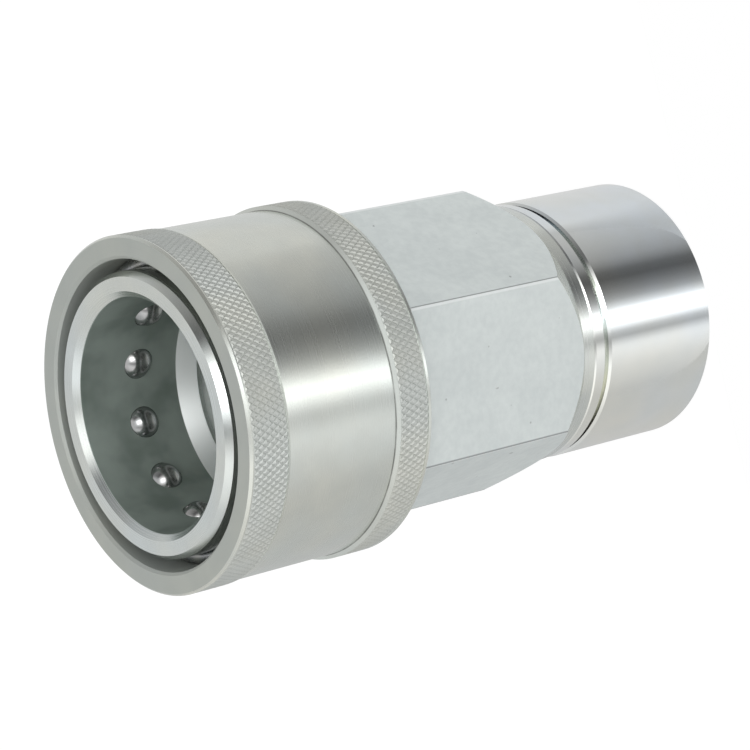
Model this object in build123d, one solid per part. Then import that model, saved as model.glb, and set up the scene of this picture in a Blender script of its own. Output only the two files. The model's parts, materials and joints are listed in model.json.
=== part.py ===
from build123d import *
from math import radians, sin, sqrt, tan
import os

# Female half of a hydraulic quick coupling: a socket with twelve lock balls, a knurled sleeve and a
# spring-loaded poppet. It stands on its rear face: the axis is Z, the rear face is Z = 0, the mouth
# is up. All sizes are in millimetres.

# Socket bores, from the mouth down. The pilot bore takes the probe and drives the other diameters
pilot_d = 31.5
pilot_length = 8.0
mouth_chamfer = 0.9
mouth_chamfer_depth = 0.95
lead_in_rise = 1.45
lead_in_length = 2.8
ball_bore_depth = 17.85
floor_ledge = 3.55
seat_lip = 1.0
seat_angle = 45.0
seat_cone_length = 3.0

# Socket outside: hex_wall over the pilot bore gives 41 mm across the flats
socket_length = 69.05
hex_wall = 4.75
hex_rear_angle = 36.0
rear_collar_length = 2.3
shoulder_length = 1.7
shoulder_chamfer = 0.3
neck_step = 0.4
neck_length = 4.2
band_lead = 0.3
nose_chamfer = 0.7
nose_chamfer_length = 0.95

# Rear adapter, outside
rear_turning = 0.2
rear_length = 21.7
rear_rim_chamfer = 0.5
rear_front_chamfer = 0.35
groove_width = 0.8
groove_depth = 1.5
collar_step = 0.1
collar_length = 2.2
seam_chamfer = 0.25

# Rear adapter, inside: G 3/4 port at its minor diameter, flow passage and spigot
port_minor_d = 24.12
port_depth = 18.0
port_chamfer = 1.3
passage_step = 1.56
passage_length = 5.0
socket_wall = 2.9
thread_gap = 0.05
thread_lead = 1.0
spigot_wall = 4.25
spigot_length = 16.0
spigot_chamfer = 0.6
body_seal_section = 2.0
body_seal_setback = 1.4

# Lock balls
ball_count = 12
ball_d = 5.556
ball_row_depth = 11.05
ball_phase = 16.5
ball_pocket_gap = 0.05
ball_probe_gap = 0.10
ball_land_gap = 0.09
ball_travel = 1.2

# Sleeve
sleeve_setback = 0.05
sleeve_length = 31.8
sleeve_travel = 6.0
sleeve_gap = 0.15
sleeve_mouth_chamfer = 0.4
cam_setback = 0.2
cam_relief = 0.03
land_length = 3.6
hex_to_sleeve_gap = 0.33
sleeve_overlap = 0.8
sleeve_wall = 1.85
front_band_rise = 0.25
front_band_length = 6.15
rear_band_rise = 0.65
rear_band_length = 5.5
band_edge = 0.4
sleeve_edge_chamfer = 0.35
sleeve_rear_chamfer = 0.4

# Stop ring in the nose
ring_wire = 2.3
ring_to_ball = 5.1
ring_groove_depth = 1.05
ring_groove_gap = 0.05
ring_hold = 0.6
ring_to_sleeve_gap = 0.2
ring_opening = 12.0
stop_gap = 0.06

# Sleeve spring
sleeve_spring_wire = 1.6
sleeve_spring_turns = 4.2

# Pilot bore seals
seal_section = 2.62
seal_groove_offset = 1.8
seal_set_in = 0.01
backup_thickness = 1.4
groove_side_gap = 0.08

# Poppet valve
poppet_nose_gap = 0.3
poppet_nose_set_in = 0.3
poppet_lip_gap = 0.2
poppet_seal_section = 1.8
poppet_seal_gap = 0.03
poppet_flow_gap = 1.7
poppet_flange_thickness = 2.4
poppet_edge = 0.5
poppet_dish_d = 13.0
poppet_dish_depth = 0.7
poppet_hub_length = 3.0
stem_d = 5.0
stem_gap = 0.06
stem_overrun = 4.6
poppet_spring_wire = 1.6
poppet_spring_turns = 3.8
poppet_spring_inset = 4.7
poppet_spring_gap = 0.2

# Guide that carries the poppet stem
guide_ledge = 1.2
guide_thickness = 2.6
guide_ring_width = 2.6
guide_side_gap = 0.05
guide_hub_wall = 2.24
guide_hub_length = 7.0
guide_spokes = 3
guide_spoke_width = 3.6

# How far cutting tools run past the stock
tool_run_out = 1.0

# Radii that follow from the sizes above
pilot_r = pilot_d / 2
lead_in_r = pilot_r + lead_in_rise
seat_r = pilot_r - floor_ledge
seat_slope = tan(radians(seat_angle))
hex_flat_r = pilot_r + hex_wall
hex_corner_r = hex_flat_r * 2 / sqrt(3)
rear_r = hex_flat_r - rear_turning
collar_r = rear_r - collar_step
neck_r = hex_flat_r - neck_step
thread_r = hex_flat_r - socket_wall
spigot_r = thread_r - thread_gap
spigot_bore_r = spigot_r - spigot_wall
valve_bore_r = thread_r - guide_ledge
port_r = port_minor_d / 2
passage_r = port_r - passage_step
ball_r = ball_d / 2
ball_circle_r = pilot_r + ball_probe_gap + ball_r
land_r = ball_circle_r + ball_r + ball_land_gap
band_r = land_r - sleeve_gap
ring_floor_r = band_r - ring_groove_depth
ring_r = ring_floor_r + ring_groove_gap + ring_wire / 2
nose_r = ring_floor_r + ring_hold
sleeve_mouth_r = ring_r + ring_wire / 2 + ring_to_sleeve_gap
chamber_r = hex_corner_r + hex_to_sleeve_gap
middle_r = chamber_r + sleeve_wall
front_band_r = middle_r + front_band_rise
rear_band_r = middle_r + rear_band_rise
sleeve_spring_r = (band_r + chamber_r) / 2

# Heights that follow from the sizes above
groove_z = rear_length
collar_z = groove_z + groove_width
seam_z = collar_z + collar_length
spigot_top_z = seam_z + spigot_length
guide_top_z = spigot_top_z + guide_thickness
nose_z = seam_z + socket_length
sleeve_front_z = nose_z - sleeve_setback
sleeve_rear_z = sleeve_front_z - sleeve_length
shoulder_top_z = sleeve_rear_z + sleeve_overlap
shoulder_low_z = shoulder_top_z - shoulder_length
neck_top_z = shoulder_top_z + neck_length
ball_z = nose_z - ball_row_depth
ring_z = ball_z + ring_to_ball
ring_half_groove = ring_wire / 2 + ring_groove_gap
lead_in_z = nose_z - ball_bore_depth
pilot_top_z = lead_in_z - lead_in_length
floor_z = pilot_top_z - pilot_length
seat_z = floor_z - seat_lip
stop_z = ring_z - ring_wire / 2 - stop_gap
cam_end_z = ball_z - cam_setback
land_rear_z = cam_end_z - land_length
cam_stop_r = land_r + ball_travel * (stop_z - cam_end_z) / sleeve_travel + cam_relief


def turned(points):
    """Solid of revolution about Z from (radius, height) points."""
    with BuildPart() as body:
        with BuildSketch(Plane.XZ):
            with BuildLine():
                Polyline(*points, close=True)
            make_face()
        revolve(axis=Axis.Z)
    return body.part


def turned_ring(radius, height, section, arc=360.0):
    """Round wire or O-ring of the given section about Z."""
    with BuildPart() as ring:
        with BuildSketch(Plane.XZ):
            with Locations((radius, height)):
                Circle(section / 2)
        revolve(axis=Axis.Z, revolution_arc=arc)
    return ring.part


def coil_spring(mean_r, wire, turns, low_z, high_z):
    """Compression spring with ends ground flat between two heights."""
    length = high_z - low_z
    pitch = length / turns
    path = Helix(pitch=pitch, height=length, radius=mean_r, center=(0, 0, low_z))
    start = Plane(origin=path @ 0, z_dir=path % 0)
    coil = sweep(start * Circle(wire / 2), path=path)
    slab = Pos(0, 0, (low_z + high_z) / 2) * Cylinder(mean_r + 2 * wire, length)
    return coil & slab


def radial_places():
    """Angles of the lock balls about Z, in degrees."""
    return [ball_phase + 360.0 * index / ball_count for index in range(ball_count)]


def ball_pocket(angle):
    """Radial pocket: round seat that keeps the ball in, open to the outside."""
    pocket_r = ball_r + ball_pocket_gap
    reach = band_r + ball_d - ball_circle_r
    seat = Pos(ball_circle_r, 0, 0) * Sphere(pocket_r)
    drill = Pos(ball_circle_r + reach / 2, 0, 0) * Rot(0, 90, 0) * Cylinder(pocket_r, reach)
    return Pos(0, 0, ball_z) * Rot(0, 0, angle) * (seat + drill)


def hex_block():
    """Wrench hex with corners on the X axis, turned round and tapered at its rear."""
    with BuildPart() as block:
        with BuildSketch(Plane.XY.offset(seam_z)):
            RegularPolygon(hex_corner_r, 6)
        extrude(amount=shoulder_low_z - seam_z)
    taper = tan(radians(hex_rear_angle))
    taper_z = seam_z + rear_collar_length
    past_r = hex_corner_r + tool_run_out
    turning = turned([
        (0, seam_z),
        (rear_r - seam_chamfer, seam_z),
        (rear_r, seam_z + seam_chamfer),
        (rear_r, taper_z),
        (past_r, taper_z + (past_r - rear_r) / taper),
        (past_r, shoulder_low_z),
        (0, shoulder_low_z),
    ])
    return block.part & turning


def body_outside():
    """Hex, spring shoulder, neck, running band, ring groove and nose."""
    front = turned([
        (0, shoulder_low_z),
        (hex_corner_r, shoulder_low_z),
        (hex_corner_r, shoulder_top_z - shoulder_chamfer),
        (hex_corner_r - shoulder_chamfer, shoulder_top_z),
        (neck_r, shoulder_top_z),
        (neck_r, neck_top_z),
        (band_r - band_lead, neck_top_z),
        (band_r, neck_top_z + band_lead),
        (band_r, ring_z - ring_half_groove),
        (ring_floor_r, ring_z - ring_half_groove),
        (ring_floor_r, ring_z + ring_half_groove),
        (nose_r, ring_z + ring_half_groove),
        (nose_r, nose_z - nose_chamfer_length),
        (nose_r - nose_chamfer, nose_z),
        (0, nose_z),
    ])
    return hex_block() + front


def body_inside():
    """Everything bored out of the socket body, from the mouth to the thread."""
    groove_low_z = pilot_top_z - seal_groove_offset - seal_groove_width()
    seat_low_z = seat_z - seat_cone_length
    seat_low_r = seat_r + seat_cone_length * seat_slope
    return turned([
        (0, nose_z + tool_run_out),
        (lead_in_r + mouth_chamfer, nose_z + tool_run_out),
        (lead_in_r + mouth_chamfer, nose_z),
        (lead_in_r, nose_z - mouth_chamfer_depth),
        (lead_in_r, lead_in_z),
        (pilot_r, pilot_top_z),
        (pilot_r, pilot_top_z - seal_groove_offset),
        (seal_groove_r(), pilot_top_z - seal_groove_offset),
        (seal_groove_r(), groove_low_z),
        (pilot_r, groove_low_z),
        (pilot_r, floor_z),
        (seat_r, floor_z),
        (seat_r, seat_z),
        (seat_low_r, seat_low_z),
        (valve_bore_r, seat_low_z),
        (valve_bore_r, guide_top_z),
        (thread_r, guide_top_z),
        (thread_r, seam_z + thread_lead),
        (thread_r + thread_lead, seam_z),
        (thread_r + thread_lead, seam_z - tool_run_out),
        (0, seam_z - tool_run_out),
    ])


def seal_groove_r():
    """Floor radius of the seal groove in the pilot bore."""
    return pilot_r + seal_set_in + seal_section + groove_side_gap


def seal_groove_width():
    """Width of the groove that holds the seal and its backup ring."""
    return seal_section + backup_thickness + 3 * groove_side_gap


def make_socket_body():
    """Nose, ball pockets, seat and hex in one piece."""
    body = body_outside() - body_inside()
    for angle in radial_places():
        body -= ball_pocket(angle)
    return body


def make_rear_adapter():
    """Rear cylinder with the port, groove, collar and the spigot that screws into the body."""
    port_end_z = port_depth + passage_step
    passage_z = port_end_z + passage_length
    bore_z = passage_z + spigot_bore_r - passage_r
    seal_low_z = body_seal_z() - body_seal_section / 2 - groove_side_gap
    seal_high_z = body_seal_z() + body_seal_section / 2 + groove_side_gap
    seal_floor_r = body_seal_r() - body_seal_section / 2 - groove_side_gap
    return turned([
        (port_r + port_chamfer, 0),
        (rear_r - rear_rim_chamfer, 0),
        (rear_r, rear_rim_chamfer),
        (rear_r, groove_z - rear_front_chamfer),
        (rear_r - rear_front_chamfer, groove_z),
        (rear_r - groove_depth, groove_z),
        (rear_r - groove_depth, collar_z),
        (collar_r - seam_chamfer, collar_z),
        (collar_r, collar_z + seam_chamfer),
        (collar_r, seam_z - seam_chamfer),
        (collar_r - seam_chamfer, seam_z),
        (spigot_r, seam_z),
        (spigot_r, seal_low_z),
        (seal_floor_r, seal_low_z),
        (seal_floor_r, seal_high_z),
        (spigot_r, seal_high_z),
        (spigot_r, spigot_top_z - spigot_chamfer),
        (spigot_r - spigot_chamfer, spigot_top_z),
        (spigot_bore_r, spigot_top_z),
        (spigot_bore_r, bore_z),
        (passage_r, passage_z),
        (passage_r, port_end_z),
        (port_r, port_depth),
        (port_r, port_chamfer),
    ])


def body_seal_r():
    """Centre radius of the O-ring round the spigot."""
    return spigot_r - body_seal_section / 2


def body_seal_z():
    """Height of the O-ring round the spigot."""
    return spigot_top_z - spigot_chamfer - body_seal_setback - body_seal_section / 2


def make_sleeve():
    """Locking sleeve: front relief, cam, land and spring chamber inside, two bands outside."""
    front_band_top = sleeve_front_z - sleeve_edge_chamfer
    front_band_low = front_band_top - front_band_length
    rear_band_low = sleeve_rear_z + sleeve_rear_chamfer
    rear_band_top = rear_band_low + rear_band_length
    return turned([
        (sleeve_mouth_r + sleeve_mouth_chamfer, sleeve_front_z),
        (front_band_r - sleeve_edge_chamfer, sleeve_front_z),
        (front_band_r, front_band_top),
        (front_band_r, front_band_low),
        (middle_r, front_band_low - band_edge),
        (middle_r, rear_band_top + band_edge),
        (rear_band_r, rear_band_top),
        (rear_band_r, rear_band_low),
        (rear_band_r - sleeve_rear_chamfer, sleeve_rear_z),
        (chamber_r + sleeve_rear_chamfer, sleeve_rear_z),
        (chamber_r, sleeve_rear_z + sleeve_rear_chamfer),
        (chamber_r, land_rear_z),
        (land_r, land_rear_z),
        (land_r, cam_end_z),
        (cam_stop_r, stop_z),
        (sleeve_mouth_r, stop_z),
        (sleeve_mouth_r, sleeve_front_z - sleeve_mouth_chamfer),
    ])


def make_sleeve_spring():
    """Spring between the shoulder of the body and the rear of the sleeve's land."""
    return coil_spring(
        sleeve_spring_r, sleeve_spring_wire, sleeve_spring_turns, shoulder_top_z, land_rear_z
    )


def make_stop_ring():
    """Open wire ring that stops the sleeve on its way forward."""
    return turned_ring(ring_r, ring_z, ring_wire, 360.0 - ring_opening)


def make_probe_seal():
    """O-ring of the pilot bore, relaxed just behind the wall."""
    height = pilot_top_z - seal_groove_offset - seal_section / 2 - groove_side_gap
    return turned_ring(pilot_r + seal_set_in + seal_section / 2, height, seal_section)


def make_backup_ring():
    """Flat ring behind the O-ring."""
    top = pilot_top_z - seal_groove_offset - seal_section - 2 * groove_side_gap
    inner = pilot_r + seal_set_in
    outer = seal_groove_r() - groove_side_gap
    return turned([
        (inner, top),
        (outer, top),
        (outer, top - backup_thickness),
        (inner, top - backup_thickness),
    ])


def poppet_seal_r():
    """Centre radius of the seal on the poppet."""
    return seat_r - poppet_nose_gap + poppet_seal_section / 2 + groove_side_gap


def poppet_seal_z():
    """Height at which the seal lies against the conical seat."""
    run = (poppet_seal_r() - seat_r) / seat_slope
    lean = (poppet_seal_section / 2 + poppet_seal_gap) / sin(radians(seat_angle))
    return seat_z - run - lean


def poppet_flange_top():
    """Height of the flange face behind the poppet seal."""
    return poppet_seal_z() - poppet_seal_section / 2 - groove_side_gap


def poppet_flange_low():
    """Height of the flange face that the spring pushes on."""
    return poppet_flange_top() - poppet_flange_thickness


def poppet_flange_r():
    """Outer radius of the flange, with room for the flow round it."""
    return valve_bore_r - poppet_flow_gap


def poppet_spring_r():
    """Mean radius of the poppet spring."""
    return poppet_flange_r() - poppet_spring_inset - poppet_spring_wire / 2


def make_poppet():
    """Valve head with a dished nose, a seal groove, a hub for the spring and a stem."""
    nose_r = seat_r - poppet_nose_gap
    lip_low_z = poppet_seal_z() + poppet_seal_section / 2 + groove_side_gap
    lip_r = seat_r + (seat_z - lip_low_z) * seat_slope - poppet_lip_gap * sqrt(2)
    lip_top_z = lip_low_z + (lip_r - nose_r) / seat_slope
    flange_r = poppet_flange_r()
    nose_top = floor_z - poppet_nose_set_in
    hub_r = poppet_spring_r() - poppet_spring_wire / 2 - poppet_spring_gap
    hub_low = poppet_flange_low() - poppet_hub_length
    stem_low = guide_top_z - guide_hub_length - stem_overrun
    stem_r = stem_d / 2
    dish_r = poppet_dish_d / 2
    return turned([
        (0, nose_top - poppet_dish_depth),
        (dish_r - poppet_dish_depth, nose_top - poppet_dish_depth),
        (dish_r, nose_top),
        (nose_r - poppet_edge, nose_top),
        (nose_r, nose_top - poppet_edge),
        (nose_r, lip_top_z),
        (lip_r, lip_low_z),
        (nose_r, lip_low_z),
        (nose_r, poppet_flange_top()),
        (flange_r - poppet_edge, poppet_flange_top()),
        (flange_r, poppet_flange_top() - poppet_edge),
        (flange_r, poppet_flange_low()),
        (hub_r, poppet_flange_low()),
        (hub_r, hub_low + poppet_edge),
        (hub_r - poppet_edge, hub_low),
        (stem_r, hub_low),
        (stem_r, stem_low + poppet_edge),
        (stem_r - poppet_edge, stem_low),
        (0, stem_low),
    ])


def make_poppet_seal():
    """O-ring that closes the poppet on its seat."""
    return turned_ring(poppet_seal_r(), poppet_seal_z(), poppet_seal_section)


def make_poppet_spring():
    """Spring between the guide's spokes and the poppet flange."""
    return coil_spring(
        poppet_spring_r(), poppet_spring_wire, poppet_spring_turns, guide_top_z, poppet_flange_low()
    )


def make_poppet_guide():
    """Spider that the adapter clamps in the body, with a hub for the poppet stem."""
    outer = thread_r - guide_side_gap
    inner = outer - guide_ring_width
    hole_r = stem_d / 2 + stem_gap
    hub_r = hole_r + guide_hub_wall
    with BuildPart() as guide:
        with BuildSketch(Plane.XY.offset(spigot_top_z)):
            Circle(outer)
            Circle(inner, mode=Mode.SUBTRACT)
        extrude(amount=guide_thickness)
        with BuildSketch(Plane.XY.offset(spigot_top_z)):
            with PolarLocations(outer / 2, guide_spokes):
                Rectangle(outer - guide_ring_width / 2, guide_spoke_width)
            Circle(hub_r)
        extrude(amount=guide_thickness)
        with BuildSketch(Plane.XY.offset(guide_top_z)):
            Circle(hub_r)
        extrude(amount=-guide_hub_length)
        Cylinder(hole_r, 2 * guide_top_z, align=[Align.CENTER, Align.CENTER, Align.MIN],
                 mode=Mode.SUBTRACT)
    return guide.part


def make_body_seal():
    """O-ring round the spigot of the adapter."""
    return turned_ring(body_seal_r(), body_seal_z(), body_seal_section)


def make_lock_ball(angle):
    """One lock ball at its rest place."""
    return Pos(0, 0, ball_z) * Rot(0, 0, angle) * Pos(ball_circle_r, 0, 0) * Sphere(ball_r)


pieces = {
    "socket_body": make_socket_body(),
    "rear_adapter": make_rear_adapter(),
    "sleeve": make_sleeve(),
    "sleeve_spring": make_sleeve_spring(),
    "sleeve_stop_ring": make_stop_ring(),
    "probe_seal": make_probe_seal(),
    "probe_backup_ring": make_backup_ring(),
    "poppet": make_poppet(),
    "poppet_seal": make_poppet_seal(),
    "poppet_spring": make_poppet_spring(),
    "poppet_guide": make_poppet_guide(),
    "body_seal": make_body_seal(),
}
for number, angle in enumerate(radial_places(), start=1):
    pieces[f"lock_ball_{number:02d}"] = make_lock_ball(angle)

os.makedirs("parts", exist_ok=True)
for name, solid in pieces.items():
    export_step(solid, f"parts/{name}.step")
    print(name, round(solid.volume, 1))
print("land radius", round(land_r, 3), "band radius", round(band_r, 3))
print("ball circle", round(ball_circle_r, 3), "chamber", round(chamber_r, 3))
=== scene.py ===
import bpy
import json
from math import cos, pi, radians, sin
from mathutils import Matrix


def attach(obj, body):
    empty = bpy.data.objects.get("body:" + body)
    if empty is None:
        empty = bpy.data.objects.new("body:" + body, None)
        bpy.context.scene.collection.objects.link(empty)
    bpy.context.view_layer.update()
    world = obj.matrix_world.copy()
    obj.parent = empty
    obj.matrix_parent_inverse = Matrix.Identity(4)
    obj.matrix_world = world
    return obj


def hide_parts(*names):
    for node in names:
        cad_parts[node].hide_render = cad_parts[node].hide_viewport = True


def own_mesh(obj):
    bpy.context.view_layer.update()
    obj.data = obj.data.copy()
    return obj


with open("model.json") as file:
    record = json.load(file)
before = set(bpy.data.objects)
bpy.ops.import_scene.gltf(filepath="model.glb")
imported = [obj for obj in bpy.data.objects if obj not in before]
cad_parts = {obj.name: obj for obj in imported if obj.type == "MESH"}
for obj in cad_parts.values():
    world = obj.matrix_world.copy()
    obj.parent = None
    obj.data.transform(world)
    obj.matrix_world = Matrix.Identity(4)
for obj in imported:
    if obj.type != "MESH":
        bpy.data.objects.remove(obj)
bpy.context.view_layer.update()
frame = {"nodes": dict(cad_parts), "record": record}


def writeBox():
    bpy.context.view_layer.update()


writeBox()
mm = 0.001

# The camera's view, fitted to the outlines of the rings
view = {
    "place": (0.08138, -0.33199, 0.30813),
    "turn": (-16.602, 51.232, -96.887),
    "lens": 135.9,
    "sensor": 36.0,
    "azimuth": -76.2,  # where the camera stands round the coupling
}
azimuth = radians(view["azimuth"])
toCamera = (cos(azimuth), sin(azimuth))
sideways = (-sin(azimuth), cos(azimuth))


def makeCamera():
    data = bpy.data.cameras.new("camera")
    data.lens = view["lens"]
    data.sensor_width = view["sensor"]
    camera = bpy.data.objects.new("camera", data)
    camera.location = view["place"]
    camera.rotation_euler = [radians(angle) for angle in view["turn"]]
    bpy.context.scene.collection.objects.link(camera)
    bpy.context.scene.camera = camera
    bpy.context.scene.view_settings.view_transform = "Standard"


makeCamera()
print("camera ready")


# Node helpers
def newTree(name):
    material = bpy.data.materials.new(name)
    material.use_nodes = True
    material.node_tree.nodes.clear()
    return material, material.node_tree


def addNode(tree, kind, inputs=None, **settings):
    node = tree.nodes.new(kind)
    for key, value in settings.items():
        setattr(node, key, value)
    for key, value in (inputs or {}).items():
        if isinstance(value, bpy.types.NodeSocket):
            tree.links.new(value, node.inputs[key])
        else:
            node.inputs[key].default_value = value
    return node


def calc(tree, operation, a, b=0.0, c=0.0):
    return addNode(tree, "ShaderNodeMath", {0: a, 1: b, 2: c}, operation=operation).outputs[0]


def fade(tree, value, low, high, fromLevel=0.0, toLevel=1.0):
    inputs = {0: value, 1: low, 2: high, 3: fromLevel, 4: toLevel}
    return addNode(tree, "ShaderNodeMapRange", inputs, interpolation_type="SMOOTHSTEP").outputs[0]


def between(tree, value, rise, fall):
    # rises to 1 over the first span and falls back to 0 over the second
    return calc(tree, "MULTIPLY", fade(tree, value, *rise), fade(tree, value, *fall, 1.0, 0.0))


def mixLevel(tree, share, first, second):
    return addNode(tree, "ShaderNodeMix", {0: share, 2: first, 3: second}).outputs[0]


def mixColour(tree, share, first, second):
    node = addNode(tree, "ShaderNodeMix", data_type="RGBA")
    for socket, value in ((0, share), (6, first), (7, second)):
        if isinstance(value, bpy.types.NodeSocket):
            tree.links.new(value, node.inputs[socket])
        else:
            node.inputs[socket].default_value = value if socket == 0 else (*value, 1)
    return node.outputs[2]


def reachAlong(tree, x, y, direction):
    # how far out a point lies in a level direction
    return calc(tree, "MULTIPLY_ADD", x, direction[0], calc(tree, "MULTIPLY", y, direction[1]))


# Studio: a white table that ends in front of the coupling, with soft strips below its edge
studio = {
    "tableEdge": 0.019,
    "tableReach": 3.0,
    "tableDrop": 0.00002,  # keeps the table just clear of the rear face
    "tablePaint": (0.9, 0.9, 0.9, 1),
    "tableGlow": 0.72,
    # painted light: how brightly the table glows as metal sees it, set by place
    "tableInMetal": 0.52,
    "tableRim": 0.45,
    "rimEnd": 0.011,
    "tableBack": 0.74,
    "sideGlowSpan": (0.004, 0.014),
    "tableWhite": 1.15,
    "zenith": 0.9,
    "zenithSpan": (0.72, 0.92),
    "horizon": 0.75,
    "horizonSpan": (-0.10, 0.20),
    "lowerRise": (-0.92, -0.74),
    "lowerFall": (-0.42, -0.30),
    "upperStrips": [
        (-180, 0.72), (-120, 0.70), (-90, 0.78), (-73, 1.05), (-50, 1.2), (-38, 0.80), (-28, 0.35),
        (-22, 0.50), (-15, 1.3), (7, 1.6), (28, 1.4), (40, 0.60), (50, 0.12), (60, 0.15), (75, 0.30),
        (95, 0.40), (120, 0.55), (150, 0.70), (180, 0.72),
    ],
    "lowerStrips": [
        (-180, 0.70), (-130, 0.58), (-90, 0.58), (-75, 0.60), (-62, 0.70), (-52, 0.78), (-43, 0.89),
        (-36, 0.97), (-32, 0.95), (-28, 0.72), (-24, 0.46), (-19, 0.62), (-13, 1.4), (-7, 2.4), (-2, 1.6),
        (3, 0.85), (9, 0.42), (15, 0.26), (21, 0.17), (28, 0.10), (35, 0.13), (42, 0.26), (48, 0.35),
        (60, 0.45), (70, 0.51), (80, 0.56), (92, 0.66), (105, 0.72), (180, 0.70),
    ],
    "stripScale": 2.0,  # a strip's colour holds its brightness divided by this
}


def tablePaint():
    # white to the camera; to metal it glows at a painted light level, dimmer at its front rim and sides and
    # brighter behind the coupling
    material, tree = newTree("tableWhite")
    path = addNode(tree, "ShaderNodeLightPath")
    seen = calc(tree, "MAXIMUM", path.outputs["Is Camera Ray"], path.outputs["Is Glossy Ray"])
    seen = calc(tree, "MAXIMUM", seen, path.outputs["Is Transmission Ray"])
    paint = addNode(tree, "ShaderNodeBsdfDiffuse", {"Color": studio["tablePaint"]})
    where = addNode(tree, "ShaderNodeTexCoord").outputs["Object"]
    x, y = addNode(tree, "ShaderNodeSeparateXYZ", {0: where}).outputs[:2]
    along = reachAlong(tree, x, y, toCamera)
    across = reachAlong(tree, x, y, sideways)
    rim = (studio["tableEdge"], studio["rimEnd"])
    # painted light: the glow to metal is dimmer at the front rim and sides, brighter behind
    glowByReach = fade(tree, along, *rim, studio["tableRim"], studio["tableBack"])
    inMetal = mixLevel(tree, fade(tree, across, *studio["sideGlowSpan"]), studio["tableInMetal"], glowByReach)
    bright = mixLevel(tree, path.outputs["Is Camera Ray"], inMetal, studio["tableWhite"])
    glow = addNode(tree, "ShaderNodeEmission", {"Color": (1, 1, 1, 1), "Strength": bright})
    share = calc(tree, "MULTIPLY", seen, studio["tableGlow"])
    top = addNode(tree, "ShaderNodeMixShader", {0: share, 1: paint.outputs[0], 2: glow.outputs[0]})
    # clear from below
    below = addNode(tree, "ShaderNodeNewGeometry").outputs["Backfacing"]
    clear = addNode(tree, "ShaderNodeBsdfTransparent")
    both = addNode(tree, "ShaderNodeMixShader", {0: below, 1: top.outputs[0], 2: clear.outputs[0]})
    addNode(tree, "ShaderNodeOutputMaterial", {0: both.outputs[0]})
    return material


def makeTable():
    edge, reach = studio["tableEdge"], studio["tableReach"]
    corners = [(edge, -reach), (edge, reach), (-reach, reach), (-reach, -reach)]
    points = [(toCamera[0] * out + sideways[0] * side, toCamera[1] * out + sideways[1] * side,
               -studio["tableDrop"]) for out, side in corners]
    mesh = bpy.data.meshes.new("table")
    mesh.from_pydata(points, [], [(0, 1, 2, 3)])
    mesh.materials.append(tablePaint())
    table = bpy.data.objects.new("table", mesh)
    bpy.context.scene.collection.objects.link(table)


def stripLight(tree, turn, strips):
    # strips stand round the coupling: degrees from the camera's side, and brightness
    ramp = addNode(tree, "ShaderNodeValToRGB", {0: turn})
    stops = ramp.color_ramp.elements
    while len(stops) < len(strips):
        stops.new(0.5)
    for stop, (degrees, level) in zip(stops, strips):
        grey = level / studio["stripScale"]
        stop.position = (degrees + 180) / 360
        stop.color = (grey, grey, grey, 1)
    return calc(tree, "MULTIPLY", ramp.outputs[0], studio["stripScale"])


def makeWorld():
    world = bpy.data.worlds.new("studio")
    bpy.context.scene.world = world
    world.use_nodes = True
    tree = world.node_tree
    tree.nodes.clear()
    where = addNode(tree, "ShaderNodeTexCoord").outputs["Generated"]
    x, y, height = addNode(tree, "ShaderNodeSeparateXYZ", {0: where}).outputs
    along = reachAlong(tree, x, y, toCamera)
    across = reachAlong(tree, x, y, sideways)
    turn = calc(tree, "MULTIPLY_ADD", calc(tree, "ARCTAN2", across, along), 0.5 / pi, 0.5)
    lower = stripLight(tree, turn, studio["lowerStrips"])
    upper = stripLight(tree, turn, studio["upperStrips"])
    near = between(tree, height, studio["lowerRise"], studio["lowerFall"])
    low = mixLevel(tree, near, studio["horizon"], lower)
    high = mixLevel(tree, fade(tree, height, *studio["zenithSpan"]), upper, studio["zenith"])
    level = mixLevel(tree, fade(tree, height, *studio["horizonSpan"]), low, high)
    # plain white where the camera looks past the table
    path = addNode(tree, "ShaderNodeLightPath")
    level = mixLevel(tree, path.outputs["Is Camera Ray"], level, 1.0)
    back = addNode(tree, "ShaderNodeBackground", {0: (1, 1, 1, 1), 1: level})
    addNode(tree, "ShaderNodeOutputWorld", {0: back.outputs[0]})


keyLight = {"azimuth": 10, "elevation": 36, "distance": 0.9, "width": 0.35, "height": 0.5, "power": 1.3}


def makeKeyLight():
    data = bpy.data.lights.new("key", "AREA")
    data.shape = "RECTANGLE"
    data.size = keyLight["width"]
    data.size_y = keyLight["height"]
    data.energy = keyLight["power"]
    lamp = bpy.data.objects.new("key", data)
    turn = radians(view["azimuth"] + keyLight["azimuth"])
    up = radians(keyLight["elevation"])
    away = keyLight["distance"]
    lamp.location = (away * cos(up) * cos(turn), away * cos(up) * sin(turn), away * sin(up))
    lamp.rotation_euler = (pi / 2 - up, 0, turn + pi / 2)
    bpy.context.scene.collection.objects.link(lamp)


makeTable()
makeWorld()
makeKeyLight()
print("studio ready")


# Finishes. Line pitches and the sizes of clouds are in metres
noiseSpan = (0.3, 0.7)  # nearly all of a noise lies in here
noiseMiddle = (0.35, 0.65)  # a narrower span shows the clouds more


def objectPlace(tree):
    return addNode(tree, "ShaderNodeTexCoord").outputs["Object"]


def placesOn(tree):
    # a point's place, with z along the axis, and its distance from the axis
    where = objectPlace(tree)
    x, y, z = addNode(tree, "ShaderNodeSeparateXYZ", {0: where}).outputs
    radius = calc(tree, "SQRT", calc(tree, "MULTIPLY_ADD", x, x, calc(tree, "MULTIPLY", y, y)))
    return {"where": where, "x": x, "y": y, "z": z, "radius": radius}


def inMetres(span):
    return [size * mm for size in span]


def heightBand(tree, at, rise, fall):
    # a band between two heights, each a span in millimetres
    return between(tree, at["z"], inMetres(rise), inMetres(fall))


def cloudy(tree, where, size, detail=2.0):
    inputs = {"Vector": where, "Scale": 1 / size, "Detail": detail}
    return addNode(tree, "ShaderNodeTexNoise", inputs).outputs[0]


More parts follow.
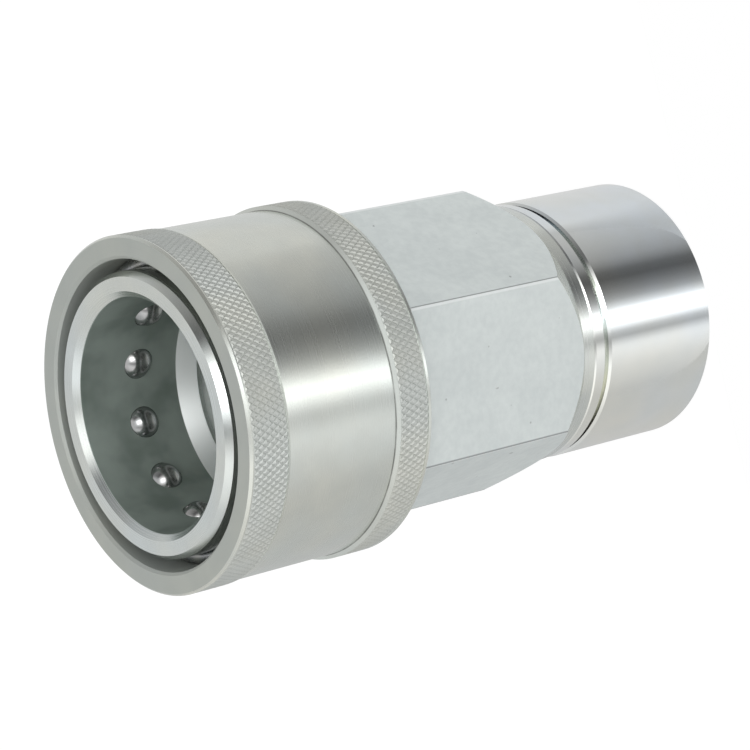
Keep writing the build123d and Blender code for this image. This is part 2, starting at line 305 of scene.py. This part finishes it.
plating = {
    "lineSlope": 1.37,  # gives faces square to the axis their own rings
    "lineDetail": 3.0,
    "lineRoughness": 0.6,
    "dullClouds": (0.004, 4.0),
    "dullShare": 0.35,
    "grainClouds": (0.0004, 3.0),
    "reliefHeight": 0.00002,
    "brushTurn": 0.25,
}


def turnedLines(tree, at, pitch):
    along = calc(tree, "MULTIPLY_ADD", at["radius"], plating["lineSlope"], at["z"])
    inputs = {"W": along, "Scale": 1 / pitch, "Detail": plating["lineDetail"],
              "Roughness": plating["lineRoughness"]}
    return addNode(tree, "ShaderNodeTexNoise", inputs, noise_dimensions="1D").outputs[0]


def zinc(name, look):
    # bright zinc plate over turned steel: fine lines round the axis and a faint yellow, green and blue film
    material, tree = newTree(name)
    at = placesOn(tree)
    lines = turnedLines(tree, at, look["linePitch"])
    film = fade(tree, cloudy(tree, at["where"], look["filmSize"]), *noiseMiddle)
    tint = mixColour(tree, film, look["warm"], look["cool"])
    dullClouds = cloudy(tree, at["where"], *plating["dullClouds"])
    dull = fade(tree, dullClouds, *noiseSpan, 0.0, plating["dullShare"])
    colour = mixColour(tree, dull, tint, look["dull"])
    rough = addNode(tree, "ShaderNodeMapRange", {
        0: lines, 1: noiseSpan[0], 2: noiseSpan[1],
        3: look["rough"] - look["spread"], 4: look["rough"] + look["spread"],
    }).outputs[0]
    grain = calc(tree, "MULTIPLY", cloudy(tree, at["where"], *plating["grainClouds"]), look["grain"])
    relief = calc(tree, "MULTIPLY_ADD", lines, 1 - look["grain"], grain)
    bump = addNode(tree, "ShaderNodeBump", {
        "Strength": look["bump"], "Distance": plating["reliefHeight"], "Height": relief,
    })
    around = addNode(tree, "ShaderNodeTangent", direction_type="RADIAL", axis="Z")
    shader = addNode(tree, "ShaderNodeBsdfPrincipled", {
        "Base Color": colour, "Metallic": look["metal"], "Roughness": rough, "Normal": bump.outputs[0],
        "Anisotropic": look["stretch"], "Anisotropic Rotation": plating["brushTurn"],
        "Tangent": around.outputs[0],
    })
    addNode(tree, "ShaderNodeOutputMaterial", {0: shader.outputs[0]})
    return material, shader, at


# Socket body: matt wrench flats, a stained ball bore, and a lead-in cone painted near white as a painted
# highlight
# Reaches and heights are in millimetres, the spans of the painted edge shade and painted edge highlight in
# sixths of a turn
bodyLook = {
    "warm": (0.73, 0.75, 0.70), "cool": (0.70, 0.75, 0.75), "dull": (0.62, 0.65, 0.64),
    "linePitch": 0.00022, "filmSize": 0.02, "rough": 0.24, "spread": 0.05,
    "grain": 0.5, "bump": 0.08, "stretch": 0.4, "metal": 1.0,
    "flat": (0.72, 0.765, 0.755), "flatDull": (0.64, 0.685, 0.68), "flatRough": 0.55, "flatMetal": 0.55,
    "flatReach": (20.46, 20.49), "flatRise": (26.0, 26.4), "flatFall": (60.95, 61.0),
    # painted light: a brightness level for each pair of flats
    "pairLight": 1.0, "firstPairShade": -0.03, "thirdPairLight": 0.15,
    "coarseClouds": (0.006, 2.0), "fineClouds": (0.0012, 5.0),
    "mattClouds": (0.0005, 3.0), "mattSpread": 0.2,
    "cornerShift": 6.5,  # counts sixths of a turn upwards of zero, with each corner at a half
    # painted shade and painted highlight along the hex corners; the shade's colour also darkens the pits
    "edge": (0.34, 0.36, 0.36), "edgeShadeRise": (0.0, 0.001), "edgeShadeFall": (0.007, 0.010),
    "edgeHighlight": (0.88, 0.90, 0.90), "edgeHighlightRise": (-0.018, -0.010), "edgeHighlightFall": (-0.001, 0.0), "edgeHighlightShare": 0.6,
    "pitClouds": (0.0016, 1.0), "pitSpan": (0.765, 0.79), "pitShare": 0.7,
    "boreReach": (17.22, 17.3),
    "wall": (0.31, 0.36, 0.33), "wallDull": (0.19, 0.23, 0.205), "wallRough": 0.5, "wallMetal": 0.4,
    "wallRise": (75.85, 75.95), "stainClouds": (0.009, 3.0), "stainSpan": (0.35, 0.68),
    # painted highlight: the lead-in cone and the pilot bore's land get a near-white colour
    "cone": (0.96, 0.99, 0.98), "coneRough": 0.5, "coneRise": (73.0, 73.1),
    "landRise": (68.0, 69.0), "landFall": (71.7, 72.5),
}


def cornerShare(tree, at):
    # how far a point lies past the nearest corner of the hex, in sixths of a turn
    turn = calc(tree, "ARCTAN2", at["y"], at["x"])
    sixths = calc(tree, "MULTIPLY_ADD", turn, 3 / pi, bodyLook["cornerShift"])
    return calc(tree, "SUBTRACT", calc(tree, "FRACT", sixths), 0.5)


def flatFinish(tree, at):
    look, where = bodyLook, at["where"]
    # how far out the point lies along each pair of flats
    half = calc(tree, "MULTIPLY", at["y"], sin(pi / 6))
    first = calc(tree, "ABSOLUTE", at["y"])
    second = calc(tree, "ABSOLUTE", calc(tree, "MULTIPLY_ADD", at["x"], cos(pi / 6), half))
    third = calc(tree, "ABSOLUTE", calc(tree, "MULTIPLY_ADD", at["x"], -cos(pi / 6), half))
    outer = calc(tree, "MAXIMUM", first, calc(tree, "MAXIMUM", second, third))
    onHex = heightBand(tree, at, look["flatRise"], look["flatFall"])
    mask = calc(tree, "MULTIPLY", fade(tree, outer, *inMetres(look["flatReach"])), onHex)
    coarse = fade(tree, cloudy(tree, where, *look["coarseClouds"]), *noiseSpan)
    fine = fade(tree, cloudy(tree, where, *look["fineClouds"]), *noiseSpan)
    mottle = calc(tree, "MULTIPLY", calc(tree, "ADD", coarse, fine), 0.5)
    colour = mixColour(tree, mottle, look["flat"], look["flatDull"])
    # painted shade: a dark line along one side of each corner, and a painted highlight, a bright line,
    # along the other
    side = cornerShare(tree, at)
    colour = mixColour(tree, between(tree, side, look["edgeShadeRise"], look["edgeShadeFall"]), colour, look["edge"])
    edgeHighlight = between(tree, side, look["edgeHighlightRise"], look["edgeHighlightFall"])
    colour = mixColour(tree, calc(tree, "MULTIPLY", edgeHighlight, look["edgeHighlightShare"]), colour, look["edgeHighlight"])
    pit = fade(tree, cloudy(tree, where, *look["pitClouds"]), *look["pitSpan"])
    colour = mixColour(tree, calc(tree, "MULTIPLY", pit, look["pitShare"]), colour, look["edge"])
    # painted light: each pair of flats gets its own level, the third pair painted lighter and the first
    # pair a little darker, as the light falls on them
    firstPair = calc(tree, "GREATER_THAN", first, calc(tree, "MAXIMUM", second, third))
    thirdPair = calc(tree, "GREATER_THAN", third, calc(tree, "MAXIMUM", first, second))
    pairLight = calc(tree, "MULTIPLY_ADD", firstPair, look["firstPairShade"], look["pairLight"])
    pairLight = calc(tree, "MULTIPLY_ADD", thirdPair, look["thirdPairLight"], pairLight)
    colour = addNode(tree, "ShaderNodeVectorMath", {0: colour, 3: pairLight}, operation="SCALE").outputs[0]
    matt = calc(tree, "SUBTRACT", cloudy(tree, where, *look["mattClouds"]), 0.5)
    return mask, colour, calc(tree, "MULTIPLY_ADD", matt, look["mattSpread"], look["flatRough"])


def boreMasks(tree, at):
    # the ball bore's wall, and the lead-in cone below it with the pilot bore's land
    look = bodyLook
    inside = fade(tree, at["radius"], *inMetres(look["boreReach"]), 1.0, 0.0)
    wall = calc(tree, "MULTIPLY", inside, fade(tree, at["z"], *inMetres(look["wallRise"])))
    taper = heightBand(tree, at, look["coneRise"], look["wallRise"])
    land = heightBand(tree, at, look["landRise"], look["landFall"])
    return wall, calc(tree, "MULTIPLY", inside, calc(tree, "MAXIMUM", taper, land))


def socketZinc():
    look = bodyLook
    material, shader, at = zinc("zincBody", look)
    tree = material.node_tree
    turned = shader.inputs["Base Color"].links[0].from_socket
    turnedRough = shader.inputs["Roughness"].links[0].from_socket
    flat, flatColour, matt = flatFinish(tree, at)
    wall, cone = boreMasks(tree, at)
    stain = fade(tree, cloudy(tree, at["where"], *look["stainClouds"]), *look["stainSpan"])
    colour = mixColour(tree, flat, turned, flatColour)
    colour = mixColour(tree, wall, colour, mixColour(tree, stain, look["wallDull"], look["wall"]))
    # painted highlight: the lead-in cone and the land are painted near white
    colour = mixColour(tree, cone, colour, look["cone"])
    rough = mixLevel(tree, flat, turnedRough, matt)
    rough = mixLevel(tree, wall, rough, look["wallRough"])
    rough = mixLevel(tree, cone, rough, look["coneRough"])
    metal = calc(tree, "MINIMUM", fade(tree, wall, 0.0, 1.0, 1.0, look["wallMetal"]),
                 fade(tree, flat, 0.0, 1.0, 1.0, look["flatMetal"]))
    for name, value in (("Base Color", colour), ("Roughness", rough), ("Metallic", metal)):
        tree.links.new(value, shader.inputs[name])
    return material


sleeveLook = {
    "warm": (0.76, 0.77, 0.70), "cool": (0.70, 0.74, 0.71), "dull": (0.64, 0.66, 0.62),
    "linePitch": 0.00025, "filmSize": 0.02, "rough": 0.26, "spread": 0.015,
    "grain": 0.97, "bump": 0.14, "stretch": 0.2, "metal": 1.0,
    # painted shade in the corner of the rear band's step
    "creaseShade": (0.16, 0.16, 0.15), "creaseShadeRise": (68.10, 68.18), "creaseShadeFall": (68.28, 68.36),
    "creaseShadeSize": 0.004, "creaseShadeSpan": (0.25, 0.6), "creaseShadeShare": (0.35, 0.8),
}


def sleeveZinc():
    look = sleeveLook
    material, shader, at = zinc("zincSleeve", look)
    tree = material.node_tree
    # painted shade: a dark, uneven line in the corner of the rear band's step
    corner = heightBand(tree, at, look["creaseShadeRise"], look["creaseShadeFall"])
    uneven = fade(tree, cloudy(tree, at["where"], look["creaseShadeSize"]), *look["creaseShadeSpan"], *look["creaseShadeShare"])
    plain = shader.inputs["Base Color"].links[0].from_socket
    colour = mixColour(tree, calc(tree, "MULTIPLY", corner, uneven), plain, look["creaseShade"])
    tree.links.new(colour, shader.inputs["Base Color"])
    return material


adapterLook = {
    "warm": (0.87, 0.87, 0.81), "cool": (0.81, 0.86, 0.90), "dull": (0.78, 0.81, 0.79),
    "linePitch": 0.0002, "filmSize": 0.025, "rough": 0.11, "spread": 0.03,
    "grain": 0.3, "bump": 0.05, "stretch": 0.5, "metal": 1.0,
}
knurlLook = {
    "warm": (0.645, 0.655, 0.61), "cool": (0.61, 0.635, 0.615), "dull": (0.53, 0.55, 0.52),
    "linePitch": 0.0003, "filmSize": 0.015, "rough": 0.56, "spread": 0.06,
    "grain": 0.5, "bump": 0.15, "stretch": 0.0, "metal": 1.0,
}
faceLook = {
    "warm": (0.475, 0.495, 0.455), "cool": (0.45, 0.475, 0.45), "dull": (0.41, 0.435, 0.41),
    "linePitch": 0.00018, "filmSize": 0.02, "rough": 0.55, "spread": 0.05,
    "grain": 0.7, "bump": 0.2, "stretch": 0.0, "metal": 0.5,
}
valveLook = {
    "warm": (0.70, 0.71, 0.66), "cool": (0.66, 0.69, 0.70), "dull": (0.58, 0.60, 0.60),
    "linePitch": 0.0002, "filmSize": 0.015, "rough": 0.3, "spread": 0.06,
    "grain": 0.4, "bump": 0.15, "stretch": 0.4, "metal": 1.0,
}

# Small pieces: an even finish with soft clouds in its colour and in its sheen
wireLook = {
    "metal": 1.0, "clouds": (0.003, 4.0), "first": (0.50, 0.50, 0.48), "second": (0.38, 0.39, 0.40),
    "sheenClouds": (0.0006, 3.0), "rough": (0.24, 0.38), "bump": 0.0,
}
ballLook = {
    "metal": 1.0, "clouds": (0.003, 2.0), "first": (0.47, 0.465, 0.46), "second": (0.40, 0.41, 0.41),
    "sheenClouds": (0.0012, 4.0), "rough": (0.16, 0.26), "bump": 0.0,
}
rubberLook = {
    "metal": 0.0, "clouds": (0.0004, 3.0), "first": (0.020, 0.020, 0.021), "second": (0.032, 0.032, 0.033),
    "sheenClouds": (0.003, 2.0), "rough": (0.38, 0.52), "bump": 0.25,
}
backupLook = {
    "metal": 0.0, "clouds": (0.004, 3.0), "first": (0.80, 0.79, 0.75), "second": (0.74, 0.73, 0.69),
    "sheenClouds": (0.004, 3.0), "rough": (0.42, 0.55), "bump": 0.0,
}


def evenFinish(name, look):
    material, tree = newTree(name)
    where = objectPlace(tree)
    clouds = cloudy(tree, where, *look["clouds"])
    colour = mixColour(tree, fade(tree, clouds, *noiseMiddle), look["first"], look["second"])
    rough = fade(tree, cloudy(tree, where, *look["sheenClouds"]), *noiseSpan, *look["rough"])
    inputs = {"Base Color": colour, "Metallic": look["metal"], "Roughness": rough}
    if look["bump"]:
        bump = addNode(tree, "ShaderNodeBump", {
            "Strength": look["bump"], "Distance": plating["reliefHeight"], "Height": clouds,
        })
        inputs["Normal"] = bump.outputs[0]
    shader = addNode(tree, "ShaderNodeBsdfPrincipled", inputs)
    addNode(tree, "ShaderNodeOutputMaterial", {0: shader.outputs[0]})
    return material


finishes = {
    "zinc_body": socketZinc(),
    "zinc_adapter": zinc("zincAdapter", adapterLook)[0],
    "zinc_sleeve": sleeveZinc(),
    "spring_steel": evenFinish("springWire", wireLook),
    "valve_steel": zinc("zincValve", valveLook)[0],
    "ball_steel": evenFinish("ballSteel", ballLook),
    "seal_rubber": evenFinish("sealRubber", rubberLook),
    "backup_plastic": evenFinish("backupWhite", backupLook),
}
knurlZinc = zinc("zincKnurl", knurlLook)[0]
faceZinc = zinc("zincFace", faceLook)[0]
for item in frame["record"]["subparts"]:
    node = frame["nodes"][item["node"]]
    node.material_slots[0].material = finishes[item["material_slot"]]
print("finishes ready")


# Modelling helpers
touching = 2e-6  # points closer than this are at the same place
mergeGap = 1e-7


def pickEdges(thing, wanted):
    # edit mode: selects the edges whose two ends both answer to wanted
    bpy.ops.mesh.select_all(action="DESELECT")
    bpy.ops.object.mode_set(mode="OBJECT")
    points = thing.data.vertices
    for edge in thing.data.edges:
        edge.select = all(wanted(points[index].co) for index in edge.vertices)
    bpy.ops.object.mode_set(mode="EDIT")


def pickRings(thing, *rings):
    # edit mode: selects the round edges at each (radius, height) in millimetres
    def onRing(point):
        return any(abs(point.xy.length - radius * mm) < touching and abs(point.z - height * mm) < touching
                   for radius, height in rings)
    pickEdges(thing, onRing)


def turnOn(start, points):
    # edit mode: carries the selected ring through the profile's (radius, height) points
    radius, height = start
    for nextRadius, nextHeight in points:
        bpy.ops.mesh.extrude_region()
        share = nextRadius / radius
        if nextRadius != radius:
            bpy.ops.transform.resize(value=(share, share, 1), center_override=(0, 0, 0))
        if nextHeight != height:
            bpy.ops.transform.translate(value=(0, 0, (nextHeight - height) * mm))
        radius, height = nextRadius, nextHeight


def screwUp(thing, rise, turns, steps):
    # object mode: turns the section round the axis, with this much rise in each turn
    screw = thing.modifiers.new("screw", "SCREW")
    screw.axis = "Z"
    screw.screw_offset = rise
    screw.iterations = turns
    screw.steps = steps
    screw.render_steps = steps
    bpy.ops.object.modifier_apply(modifier="screw")


def cutEnds(low, high):
    # edit mode: cuts off what lies past either height and closes both cuts
    for height, side in ((low, -1), (high, 1)):
        bpy.ops.mesh.select_all(action="SELECT")
        bpy.ops.mesh.bisect(plane_co=(0, 0, height), plane_no=(0, 0, side), clear_outer=True,
                            use_fill=True, threshold=mergeGap)
    bpy.ops.mesh.select_all(action="SELECT")
    bpy.ops.mesh.remove_doubles(threshold=mergeGap)


def closeShell(thing, smoothAngle):
    bpy.ops.mesh.select_all(action="SELECT")
    bpy.ops.mesh.normals_make_consistent(inside=False)
    bpy.ops.object.mode_set(mode="OBJECT")
    bpy.ops.object.select_all(action="DESELECT")
    thing.select_set(True)
    bpy.context.view_layer.objects.active = thing
    bpy.ops.object.shade_smooth_by_angle(angle=radians(smoothAngle))


def joinTo(thing, other):
    bpy.ops.object.select_all(action="DESELECT")
    other.select_set(True)
    thing.select_set(True)
    bpy.context.view_layer.objects.active = thing
    bpy.ops.object.join()


# Sleeve: two knurled bands, joined by the turned profile between and inside them. Sizes in millimetres
sleeve = {
    "diamonds": 156,
    "knurlDepth": 0.15,
    "knurlFlank": 0.23,
    "frontBand": {"low": 87.25, "high": 93.1, "crest": 26.1, "rows": 4},
    "rearBand": {"low": 62.75, "high": 67.7, "crest": 26.5, "rows": 3},
    "mouth": [(26.06, 93.14), (26.1, 93.35), (25.75, 93.7), (23.107, 93.7), (22.707, 93.3),
              (22.707, 86.55), (22.338, 86.55), (21.496, 82.5), (21.496, 78.9), (24.001, 78.9),
              (24.001, 62.3), (24.401, 61.9), (26.1, 61.9), (26.5, 62.3), (26.46, 62.7)],
    "frontStep": [(26.05, 87.2), (25.85, 86.8), (25.85, 86.4)],
    "rearStep": [(26.46, 67.74), (26.5, 67.8), (25.85, 68.2), (25.85, 68.6)],
    "knurlFrom": 25.7,  # the knurl lies further out than this
    "faceFrom": 93.69,  # the front face lies above this
    "mouthWithin": 23.3,  # the mouth's wall lies within this radius
    "mouthFrom": 86.0,  # and above this height
    "smoothAngle": 24,
}


def knurlBand(name, band):
    base, low, high = band["crest"] - sleeve["knurlDepth"], band["low"], band["high"]
    bpy.ops.object.select_all(action="DESELECT")
    bpy.ops.mesh.primitive_cylinder_add(
        vertices=sleeve["diamonds"], radius=base * mm, depth=(high - low) * mm, end_fill_type="NOTHING",
        location=(0, 0, (low + high) / 2 * mm),
    )
    thing = bpy.context.object
    thing.name = name
    bpy.ops.object.transform_apply(location=True)
    bpy.ops.object.mode_set(mode="EDIT")
    bpy.ops.mesh.select_mode(type="EDGE")
    bpy.ops.mesh.select_all(action="DESELECT")
    bpy.ops.object.mode_set(mode="OBJECT")
    points = thing.data.vertices
    for edge in thing.data.edges:
        first, second = edge.vertices
        edge.select = abs(points[first].co.z - points[second].co.z) > touching
    bpy.ops.object.mode_set(mode="EDIT")
    bpy.ops.mesh.subdivide(number_cuts=band["rows"] - 1)
    bpy.ops.object.mode_set(mode="OBJECT")
    corners = len(thing.data.vertices)
    bpy.ops.object.mode_set(mode="EDIT")
    # a centre in every square, then the squares' own edges go, which leaves diamonds
    bpy.ops.mesh.select_all(action="SELECT")
    bpy.ops.mesh.poke()
    bpy.ops.mesh.select_all(action="DESELECT")
    bpy.ops.object.mode_set(mode="OBJECT")
    points = thing.data.vertices
    for edge in thing.data.edges:
        first, second = edge.vertices
        heights = [points[index].co.z for index in (first, second)]
        onRim = any(all(abs(height - rim * mm) < touching for height in heights) for rim in (low, high))
        edge.select = first < corners and second < corners and not onRim
    bpy.ops.object.mode_set(mode="EDIT")
    bpy.ops.mesh.dissolve_edges(use_verts=False)
    # each diamond gets a raised, flat top
    bpy.ops.mesh.select_mode(type="FACE")
    bpy.ops.mesh.select_all(action="SELECT")
    bpy.ops.mesh.inset(thickness=sleeve["knurlFlank"] * mm, use_individual=True)
    share = band["crest"] / base
    bpy.ops.transform.resize(value=(share, share, 1), center_override=(0, 0, 0))
    bpy.ops.mesh.select_mode(type="EDGE")
    bpy.ops.object.mode_set(mode="OBJECT")
    return thing, base


def paintSleeve(shell):
    for finish in (finishes["zinc_sleeve"], knurlZinc, faceZinc):
        shell.data.materials.append(finish)
    bands = (sleeve["frontBand"], sleeve["rearBand"])
    for face in shell.data.polygons:
        radius, height = face.center.xy.length / mm, face.center.z / mm
        onBand = radius > sleeve["knurlFrom"] and any(band["low"] < height < band["high"] for band in bands)
        inMouth = radius < sleeve["mouthWithin"] and height > sleeve["mouthFrom"]
        if onBand:
            face.material_index = 1
        elif inMouth or height > sleeve["faceFrom"]:
            face.material_index = 2
        else:
            face.material_index = 0


def makeSleeve():
    shell, frontBase = knurlBand("sleeveShell", sleeve["frontBand"])
    rear, rearBase = knurlBand("sleeveRearBand", sleeve["rearBand"])
    joinTo(shell, rear)
    bpy.ops.object.mode_set(mode="EDIT")
    # chamfer, front face, mouth, stop, cam, land, spring chamber and rear edge
    start = (frontBase, sleeve["frontBand"]["high"])
    pickRings(shell, start)
    turnOn(start, sleeve["mouth"])
    pickRings(shell, sleeve["mouth"][-1], (rearBase, sleeve["rearBand"]["low"]))
    bpy.ops.mesh.bridge_edge_loops()
    # outside: both steps, and the plain middle between them
    start = (frontBase, sleeve["frontBand"]["low"])
    pickRings(shell, start)
    turnOn(start, sleeve["frontStep"])
    start = (rearBase, sleeve["rearBand"]["high"])
    pickRings(shell, start)
    turnOn(start, sleeve["rearStep"])
    pickRings(shell, sleeve["frontStep"][-1], sleeve["rearStep"][-1])
    bpy.ops.mesh.bridge_edge_loops()
    closeShell(shell, sleeve["smoothAngle"])
    paintSleeve(shell)
    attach(shell, "sleeve")
    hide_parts("sleeve")
    print("sleeve ready, faces", len(shell.data.polygons))


makeSleeve()


# Rear adapter: turned shell with the pipe thread in its port. Sizes in millimetres
adapter = {
    "sides": 160,
    "portEdge": (13.36, 0),
    "outline": [(19.8, 0), (20.3, 0.5), (20.3, 21.35), (19.95, 21.7), (18.8, 21.7), (18.8, 22.5),
                (19.95, 22.5), (20.2, 22.75), (20.2, 24.45), (19.95, 24.7), (17.55, 24.7), (17.55, 36.62),
                (15.47, 36.62), (15.47, 38.78), (17.55, 38.78), (17.55, 40.1), (16.95, 40.7), (13.3, 40.7),
                (13.3, 27.36), (10.5, 24.56), (10.5, 19.56), (12.06, 18), (12.06, 15.8), (13.24, 14.6),
                (13.24, 0.12)],
    "smoothAngle": 30,
}
portThread = {
    "pitch": 1.814,
    "crest": 12.06,
    "root": 13.3,
    "rootWidth": 1.62,
    "crestWidth": 0.34,
    "lead": 1.13,  # pitches by which the helix starts before its first end, where it is cut off
    "low": 0.7,
    "high": 15.2,
    "turns": 11,
    "steps": 72,
}


def makePortThread():
    pitch, crest, root = portThread["pitch"], portThread["crest"], portThread["root"]
    width = root - crest
    start = portThread["low"] - pitch * portThread["lead"]
    middle = (root + crest) / 2
    bpy.ops.object.select_all(action="DESELECT")
    bpy.ops.mesh.primitive_plane_add(size=width * mm, location=(middle * mm, 0, start * mm),
                                     rotation=(pi / 2, 0, 0))
    thread = bpy.context.object
    thread.name = "portThread"
    bpy.ops.object.transform_apply(location=True, rotation=True)
    bpy.ops.object.mode_set(mode="EDIT")
    bpy.ops.mesh.select_mode(type="EDGE")
    for side, wide in ((1, portThread["rootWidth"]), (-1, portThread["crestWidth"])):
        pickEdges(thread, lambda point: (point.x - middle * mm) * side > 0)
        bpy.ops.transform.resize(value=(1, 1, wide / width), center_override=(0, 0, start * mm))
    bpy.ops.mesh.select_all(action="SELECT")
    bpy.ops.mesh.delete(type="ONLY_FACE")
    bpy.ops.object.mode_set(mode="OBJECT")
    screwUp(thread, pitch * mm, portThread["turns"], portThread["steps"])
    bpy.ops.object.mode_set(mode="EDIT")
    cutEnds(portThread["low"] * mm, portThread["high"] * mm)
    closeShell(thread, adapter["smoothAngle"])
    return thread


def makeAdapter():
    thread = makePortThread()
    bpy.ops.object.select_all(action="DESELECT")
    edge = adapter["portEdge"]
    bpy.ops.mesh.primitive_circle_add(vertices=adapter["sides"], radius=edge[0] * mm,
                                      location=(0, 0, edge[1] * mm))
    shell = bpy.context.object
    shell.name = "adapterShell"
    bpy.ops.object.mode_set(mode="EDIT")
    bpy.ops.mesh.select_mode(type="EDGE")
    bpy.ops.mesh.select_all(action="SELECT")
    turnOn(edge, adapter["outline"])
    pickRings(shell, edge, adapter["outline"][-1])
    bpy.ops.mesh.bridge_edge_loops()
    closeShell(shell, adapter["smoothAngle"])
    joinTo(shell, thread)
    shell.data.materials.append(finishes["zinc_adapter"])
    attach(shell, "body")
    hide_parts("rear_adapter")
    print("adapter ready, faces", len(shell.data.polygons))


makeAdapter()


# Springs: a wire section turned up the axis, with ends ground flat
springs = {
    "sleeveCoil": {
        "node": "sleeve_spring", "body": "spring_carrier", "joint": "sleeve_slide", "keep": 0.6296,
        "radius": 22.6735 * mm, "wire": 1.6 * mm, "turns": 4.2, "low": 62.7 * mm, "high": 78.9 * mm,
    },
    "poppetCoil": {
        "node": "poppet_spring", "body": "body", "joint": "poppet_slide", "keep": 0.545,
        "radius": 9.2 * mm, "wire": 1.6 * mm, "turns": 3.8, "low": 43.3 * mm, "high": 58.725 * mm,
    },
}
coilMesh = {"wireSides": 16, "steps": 48, "spareTurns": 3, "smoothAngle": 40}


def makeSpring(name, coil):
    pitch = (coil["high"] - coil["low"]) / coil["turns"]
    bpy.ops.object.select_all(action="DESELECT")
    bpy.ops.mesh.primitive_circle_add(
        vertices=coilMesh["wireSides"], radius=coil["wire"] / 2, rotation=(pi / 2, 0, 0),
        location=(coil["radius"], 0, coil["low"] - pitch),
    )
    thing = bpy.context.object
    thing.name = name
    bpy.ops.object.transform_apply(location=True, rotation=True)
    screwUp(thing, pitch, int(coil["turns"]) + coilMesh["spareTurns"], coilMesh["steps"])
    bpy.ops.object.mode_set(mode="EDIT")
    bpy.ops.mesh.select_mode(type="EDGE")
    cutEnds(coil["low"], coil["high"])
    closeShell(thing, coilMesh["smoothAngle"])
    thing.data.materials.append(finishes["spring_steel"])
    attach(thing, coil["body"])
    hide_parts(coil["node"])
    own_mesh(thing)
    print(name, "ready, faces", len(thing.data.polygons))


for name, coil in springs.items():
    makeSpring(name, coil)

writeBox()
